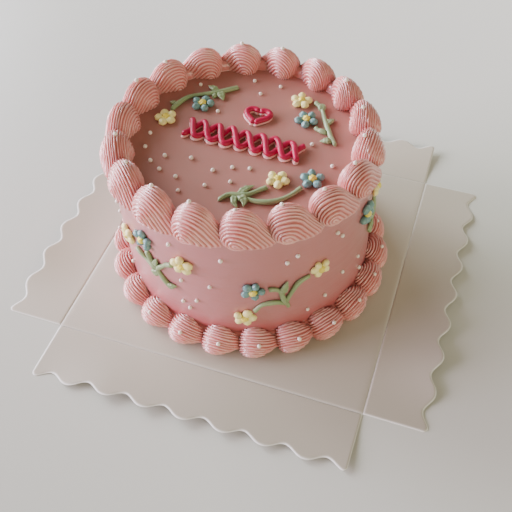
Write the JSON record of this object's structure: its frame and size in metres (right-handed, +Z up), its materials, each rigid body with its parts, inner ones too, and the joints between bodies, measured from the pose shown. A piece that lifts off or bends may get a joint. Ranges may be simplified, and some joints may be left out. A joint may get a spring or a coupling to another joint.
{
  "type": "bento cake",
  "caption": "Small round celebration cake in pink buttercream with piped shell borders, icing flowers and pearls, on the scalloped card of its box with folding flaps.",
  "frame": {"origin": "middle of the underside of the card's square, with all its flaps laid flat", "axes": "+Z up; X along the card's front and back creases; the front of the cake faces -Y"},
  "size_m": [0.194, 0.194, 0.0808],
  "materials": {
    "pink_icing": "smooth pink buttercream, soft satin",
    "shell_icing": "piped pink buttercream with fine ridges, soft satin",
    "hot_pink_icing": "piped magenta icing, slightly glossy",
    "green_icing": "piped sage green icing, soft satin",
    "blue_icing": "piped dusty blue icing, soft satin",
    "yellow_icing": "piped cream yellow icing, soft satin",
    "white_pearl": "glossy white sugar pearls",
    "white_card": "uncoated white card, matt"
  },
  "bodies": {
    "cake": {"cake_body": "pink_icing", "top_border": "shell_icing", "bottom_border": "shell_icing", "braid": "hot_pink_icing", "heart": "hot_pink_icing", "card_base": "white_card", "top_flower_1": "yellow_icing", "top_flower_2": "blue_icing", "top_flower_3": "yellow_icing", "top_flower_4": "blue_icing", "top_flower_5": "yellow_icing", "top_flower_6": "blue_icing", "top_spray_1": "green_icing", "top_spray_2": "green_icing", "top_spray_3": "green_icing", "side_flower_1": "yellow_icing", "side_flower_2": "blue_icing", "side_flower_3": "yellow_icing", "side_flower_4": "blue_icing", "side_flower_5": "yellow_icing", "side_flower_6": "yellow_icing", "side_flower_7": "blue_icing", "side_flower_8": "yellow_icing", "side_flower_9": "yellow_icing", "side_flower_10": "yellow_icing", "side_flower_11": "blue_icing", "side_flower_12": "yellow_icing", "side_flower_13": "blue_icing", "side_flower_14": "yellow_icing", "side_flower_15": "yellow_icing", "side_flower_16": "blue_icing", "side_flower_17": "yellow_icing", "side_flower_18": "yellow_icing", "side_spray_1": "green_icing", "side_spray_2": "green_icing", "side_spray_3": "green_icing", "side_spray_4": "green_icing", "side_spray_5": "green_icing", "side_spray_6": "green_icing"},
    "flap_front": {"card_flap_front": "white_card"},
    "flap_right": {"card_flap_right": "white_card"},
    "flap_back": {"card_flap_back": "white_card"},
    "flap_left": {"card_flap_left": "white_card"}
  },
  "joints": [
    {"name": "front_crease", "type": "hinge", "parent": "cake", "child": "flap_front", "pos_m": [0, -0.07015, 0.0005], "axis": [-1, 0, 0], "range_deg": [0, 90]},
    {"name": "right_crease", "type": "hinge", "parent": "cake", "child": "flap_right", "pos_m": [0.07015, 0, 0.0005], "axis": [0, -1, 0], "range_deg": [0, 90]},
    {"name": "back_crease", "type": "hinge", "parent": "cake", "child": "flap_back", "pos_m": [0, 0.07015, 0.0005], "axis": [1, 0, 0], "range_deg": [0, 90]},
    {"name": "left_crease", "type": "hinge", "parent": "cake", "child": "flap_left", "pos_m": [-0.07015, 0, 0.0005], "axis": [0, 1, 0], "range_deg": [0, 90]}
  ]
}
